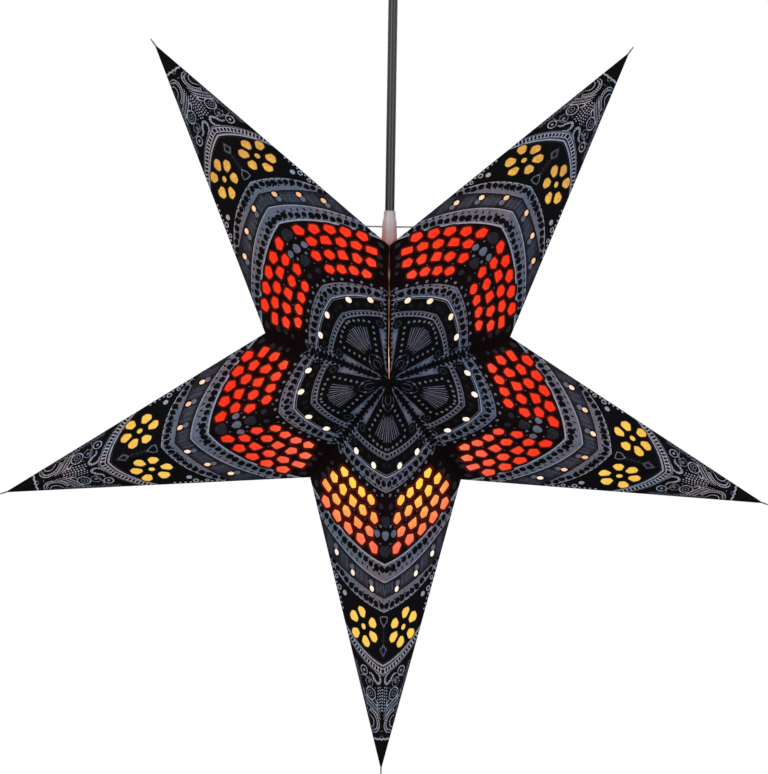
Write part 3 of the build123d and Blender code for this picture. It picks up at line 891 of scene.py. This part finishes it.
under = {"flap": 0.3, "inside": 0.7, "fromSeam": 1.2}      # mm: below the facets, and from a seam's plane
facing = {"seam": 0.7, "inwards": -0.6, "sideways": 0.3}   # cosines of the turn of a face


def finishArm(arm, angle):
    # The card's inner side stays bare, and its cut edges show the core of the sheet
    mesh = bmesh.new()
    mesh.from_mesh(arm.data)
    inside, edge, black = (inkOrder.index(ink) for ink in ("inside", "edge", "black"))
    axes = [facetAxes(angle, side, face) for side in (1, -1) for face in (-1, 1)]
    seams = [seamAxes(angle, side)[1] for side in (1, -1)]
    for small in mesh.faces:
        middle = (small.calc_center_median() - starCentre) / mm
        depths = [(middle - tip).dot(outside) for tip, uAxis, vAxis, outside in axes]
        nearest = max(depths)
        outside = axes[depths.index(nearest)][3]
        flat = small.normal.dot(outside)
        onFlap = any(small.normal.dot(seam) > facing["seam"] and abs(middle.dot(seam)) < under["fromSeam"]
                     for seam in seams)
        if nearest < -under["flap"] and onFlap:
            small.material_index = black                            # the printed side of a flap
        elif nearest < -under["inside"] or flat < facing["inwards"]:
            small.material_index = inside
        elif abs(flat) < facing["sideways"]:
            small.material_index = edge
    addSpike(mesh, angle)
    mesh.to_mesh(arm.data)
    mesh.free()


for name, angle in armAngles.items():
    arm = buildArm(name, angle)
    print("arm", name, len(arm.data.polygons), "faces")


def dress(node, material):
    # One of the frame's own pieces in one finish
    piece = bpy.data.objects[node]
    piece.data.materials.clear()
    piece.data.materials.append(material)


# Backing papers: the frame's own sheets, lit from behind
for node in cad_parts:
    for sheets, tissue in tissues.items():
        if node.startswith(sheets):
            dress(node, tissue)
print("backing papers lit")


# Cord, lamp and ceiling rose

def smoothPlastic(name, dark, light, roughness, skinStrength=0.12):
    # Moulded plastic: even colour with a faint mottle and a fine orange-peel skin
    material, tree, shader, place = newMaterial(name, {"Roughness": roughness, "IOR": 1.5})
    tree.links.new(mottled(tree, place, dark, light, 6.0), shader.inputs["Base Color"])
    skin = addNode(tree, "ShaderNodeTexNoise", {"Scale": 1 / (0.8 * mm), "Detail": 3.0}, {"Vector": place})
    bump = addNode(tree, "ShaderNodeBump", {"Strength": skinStrength, "Distance": 0.03 * mm},
                   {"Height": skin.outputs["Fac"]})
    tree.links.new(bump.outputs["Normal"], shader.inputs["Normal"])
    return material


def heightRamp(tree, place, steps):
    # Colours by height: pairs of z in mm and colour, from the top down
    height = addNode(tree, "ShaderNodeSeparateXYZ", links={"Vector": place}).outputs["Z"]
    top, low = steps[0][0], steps[-1][0]
    share = addNode(tree, "ShaderNodeMapRange", {"From Min": top * mm, "From Max": low * mm},
                    {"Value": height})
    ramp = addNode(tree, "ShaderNodeValToRGB", links={"Fac": share.outputs["Result"]})
    setStops(ramp, [((z - top) / (low - top), colour) for z, colour in steps])
    return ramp.outputs["Color"]


def glowingCap():
    # Translucent polypropylene, frosted by its mould and milky at the collar. Lower down, painted shade turns
    # it dark grey inside the star, and a painted glow makes it dusty red where the lamp reaches it
    material, tree, shader, place = newMaterial(
        "frostedPolypropyleneCap", {"Roughness": 0.34, "IOR": 1.49, "Emission Strength": 0.3})
    # the plastic's own milky colour, darkened downwards by painted shade inside the star
    milkyWithPaintedShade = heightRamp(tree, place, [(-221, "#cdc9c6"), (-227, "#d9d5d2"), (-238, "#b5abaa"),
                                     (-246, "#8f8382"), (-252, "#4c4849"), (-260, "#3a3839")])
    # painted glow: the lamp's red and warm light through the plastic
    lampThrough = heightRamp(tree, place, [(-229, "#000000"), (-238, "#5a1512"), (-245, "#a83228"),
                                           (-250, "#7a1a14"), (-256, "#1a0504"), (-266, "#3a2012"),
                                           (-272, "#c48a58")])
    cloud = addNode(tree, "ShaderNodeTexNoise", {"Scale": 1 / (3.5 * mm), "Detail": 5.0}, {"Vector": place})
    mixed = addNode(tree, "ShaderNodeMix",
                    {"data_type": "RGBA", "blend_type": "MULTIPLY", 7: toLinear("#d9d1cf")},
                    {0: cloud.outputs["Fac"], 6: milkyWithPaintedShade})
    tree.links.new(mixed.outputs[2], shader.inputs["Base Color"])
    tree.links.new(lampThrough, shader.inputs["Emission Color"])
    return material


def thinUrea():
    # Moulded urea with a wall thin enough for some of the lamp's light to come through
    material = smoothPlastic("ivoryUreaHolder", "#a89a86", "#b9ac98", 0.45)
    shader = material.node_tree.nodes["Principled BSDF"]
    shader.inputs["Emission Color"].default_value = toLinear("#c48a58")
    shader.inputs["Emission Strength"].default_value = 0.55
    return material


def metal(name, dark, light, roughness):
    # Stamped sheet metal: smooth, with a faint unevenness in its brightness
    material, tree, shader, place = newMaterial(name, {"Metallic": 1.0, "Roughness": roughness})
    tree.links.new(mottled(tree, place, dark, light, 4.0), shader.inputs["Base Color"])
    return material


def opalGlass():
    # Opal glass with the lamp on: it gives a soft warm light, mottled a little
    material, tree, shader, place = newMaterial(
        "opalGlassLit", {"Base Color": toLinear("#fff4e2"), "Roughness": 0.25, "IOR": 1.5,
                         "Emission Strength": 1.3})
    tree.links.new(mottled(tree, place, "#f2b878", "#ffd6a0", 12.0), shader.inputs["Emission Color"])
    return material


cordPlastic = smoothPlastic("blackPvcSheath", "#0b0b0c", "#141415", 0.24, 0.03)
whitePlastic = smoothPlastic("whiteUreaMoulding", "#dedcd8", "#ebe9e5", 0.35)
nodeFinishes = {
    "holder_body": thinUrea(),
    "screw_shell": metal("stampedBrass", "#b08d45", "#cfae66", 0.3),
    "bulb": opalGlass(),
    "tie_string": inkedPaper("twistedCottonString", "#8b8985", "#aaa8a3", 0.9, 0.8),
    "ceiling_rose": whitePlastic,
    "cord_grip": whitePlastic,
    "ceiling_plate": metal("zincPlatedSteel", "#a9abab", "#c2c4c4", 0.4),
    "terminal_block": smoothPlastic("naturalNylonBlock", "#d8d4c6", "#e4e0d4", 0.5),
}
for node, material in nodeFinishes.items():
    dress(node, material)
    print("finished", node)

# The cap of the lamp holder: a cone over the holder, a long taper, and a collar round the cord
cap = {
    "sides": 48,
    "start": (5.7, -262.6),        # radius and z in mm: the ceiling of its hollow
    "rings": [
        (17.4, -282.0), (17.4, -290.0),                             # down its inside
        (19.0, -290.0), (19.0, -282.0), (7.3, -261.0), (6.5, -249.5), (6.05, -240.0), (5.7, -231.5),
        (5.5, -229.4), (5.05, -227.4), (4.8, -226.3),               # shoulder below the collar
        (4.72, -223.2), (4.55, -221.8), (4.25, -221.1),             # collar and its rounded lip
        (3.95, -221.3), (3.82, -222.2), (3.82, -235.0),             # bore for the cord
    ],
}


def buildCap():
    # One disc, extruded ring after ring through the whole section; the last disc closes the bore
    radius, z = cap["start"]
    bpy.ops.mesh.primitive_circle_add(vertices=cap["sides"], radius=radius * mm,
                                      location=(0, 0, z * mm), fill_type="NGON")
    piece = bpy.context.object
    piece.name = "frostedCap"
    bpy.ops.object.mode_set(mode="EDIT")
    for nextRadius, nextZ in cap["rings"]:
        bpy.ops.mesh.extrude_region_move(TRANSFORM_OT_translate={"value": (0, 0, (nextZ - z) * mm)})
        grow = nextRadius / radius
        bpy.ops.transform.resize(value=(grow, grow, 1), center_override=(0, 0, nextZ * mm))
        radius, z = nextRadius, nextZ
    bpy.ops.mesh.select_all(action="SELECT")
    bpy.ops.mesh.normals_make_consistent(inside=False)
    bpy.ops.object.mode_set(mode="OBJECT")
    bpy.ops.object.transform_apply(location=True, rotation=False, scale=False)
    bpy.ops.object.shade_smooth_by_angle(angle=math.radians(40))
    piece.data.materials.append(glowingCap())
    piece.select_set(False)
    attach(piece, "root")
    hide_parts("holder_cap")


buildCap()
print("lamp cap made")

cord = {"diameter": 7.5, "low": -235.0, "high": -11.62}     # mm, the sheath's ends below the ceiling
# straight, with one point 6 diameters from each end
route = [(0, 0, cord["low"]), (0, 0, cord["low"] + 6 * cord["diameter"]),
         (0, 0, cord["high"] - 6 * cord["diameter"]), (0, 0, cord["high"])]


def buildCord():
    curve = bpy.data.curves.new("powerCordSheath", "CURVE")
    curve.dimensions = "3D"
    spline = curve.splines.new("NURBS")
    spline.points.add(len(route) - 1)
    for point, place in zip(spline.points, route):
        point.co = (*[value * mm for value in place], 1)
    spline.order_u = 3
    spline.use_endpoint_u = True
    curve.bevel_depth = cord["diameter"] / 2 * mm
    curve.bevel_resolution = 8
    curve.use_fill_caps = True
    sheath = bpy.data.objects.new("powerCordSheath", curve)
    bpy.context.collection.objects.link(sheath)
    curve.materials.append(cordPlastic)
    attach(sheath, "root")
    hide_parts("power_cord")


buildCord()
print("cord made")


# Floor, lamps, background and camera

studio = {
    "floorHeight": -2.40,        # metres below the ceiling
    "floorSize": 6.0,
    "floorBlend": 0.93,          # the background's share in what the camera sees of it
    "worldLight": 0.42,
    "lamps": [                   # place, size, power and colour of each soft box
        ((-1.3, -2.2, 0.7), 1.6, 24, "#fff2ee"),
        ((1.7, -2.0, 0.2), 1.6, 17.5, "#c8dfff"),
        ((0.0, 2.2, 0.9), 1.8, 18, "#ffffff"),
    ],
}


def buildFloor():
    bpy.ops.mesh.primitive_plane_add(size=studio["floorSize"], location=(0, 0, 0))
    floor = bpy.context.object
    floor.name = "studioFloor"
    for vertex in floor.data.vertices:
        vertex.co.z = studio["floorHeight"]
    # A matt studio floor that the camera sees almost as bright as the background
    material, tree, shader, place = newMaterial(
        "paleFloor", {"Roughness": 0.9, "Base Color": toLinear("#f4f4f3")})
    seen = addNode(tree, "ShaderNodeLightPath")
    white = addNode(tree, "ShaderNodeEmission", {"Color": (1, 1, 1, 1), "Strength": 1.0})
    share = addNode(tree, "ShaderNodeMath", {"operation": "MULTIPLY", 1: studio["floorBlend"]},
                    {0: seen.outputs["Is Camera Ray"]})
    mixed = addNode(tree, "ShaderNodeMixShader", links={
        0: share.outputs["Value"], 1: shader.outputs["BSDF"], 2: white.outputs["Emission"]})
    tree.links.new(mixed.outputs["Shader"], tree.nodes["Material Output"].inputs["Surface"])
    floor.data.materials.append(material)
    floor.select_set(False)


def buildWorld():
    # White where the camera, a gloss or a clear piece sees it, and a weaker light for all else
    world = bpy.data.worlds.new("paleStudio")
    bpy.context.scene.world = world
    world.use_nodes = True
    tree = world.node_tree
    seen = addNode(tree, "ShaderNodeLightPath")
    either = addNode(tree, "ShaderNodeMath", {"operation": "MAXIMUM"},
                     {0: seen.outputs["Is Camera Ray"], 1: seen.outputs["Is Glossy Ray"]})
    anyOf = addNode(tree, "ShaderNodeMath", {"operation": "MAXIMUM"},
                    {0: either.outputs["Value"], 1: seen.outputs["Is Transmission Ray"]})
    strength = addNode(tree, "ShaderNodeMapRange", {"To Min": studio["worldLight"], "To Max": 1.0},
                       {"Value": anyOf.outputs["Value"]})
    back = tree.nodes["Background"]
    back.inputs["Color"].default_value = (1, 1, 1, 1)
    tree.links.new(strength.outputs["Result"], back.inputs["Strength"])


def buildLamps():
    for i, (place, size, power, tint) in enumerate(studio["lamps"]):
        data = bpy.data.lights.new("softBox%d" % (i + 1), "AREA")
        data.size = size
        data.energy = power
        data.color = toLinear(tint)[:3]
        box = bpy.data.objects.new(data.name, data)
        box.location = place
        box.rotation_euler = (starCentre - Vector(place)).to_track_quat("-Z", "Y").to_euler()
        bpy.context.collection.objects.link(box)


view = {
    "place": (-17.7, -1498.0, -273.8),      # mm
    "turn": (86.716, -0.894, -0.536),       # degrees
    "lens": 88.396,
}


def buildCamera():
    data = bpy.data.cameras.new("photoCamera")
    data.lens = view["lens"]
    data.sensor_width = 36.0
    camera = bpy.data.objects.new("photoCamera", data)
    camera.location = [value * mm for value in view["place"]]
    camera.rotation_euler = [math.radians(value) for value in view["turn"]]
    bpy.context.collection.objects.link(camera)
    bpy.context.scene.camera = camera


buildFloor()
buildWorld()
buildLamps()
buildCamera()
bpy.context.scene.view_settings.view_transform = "Standard"
print("studio ready")
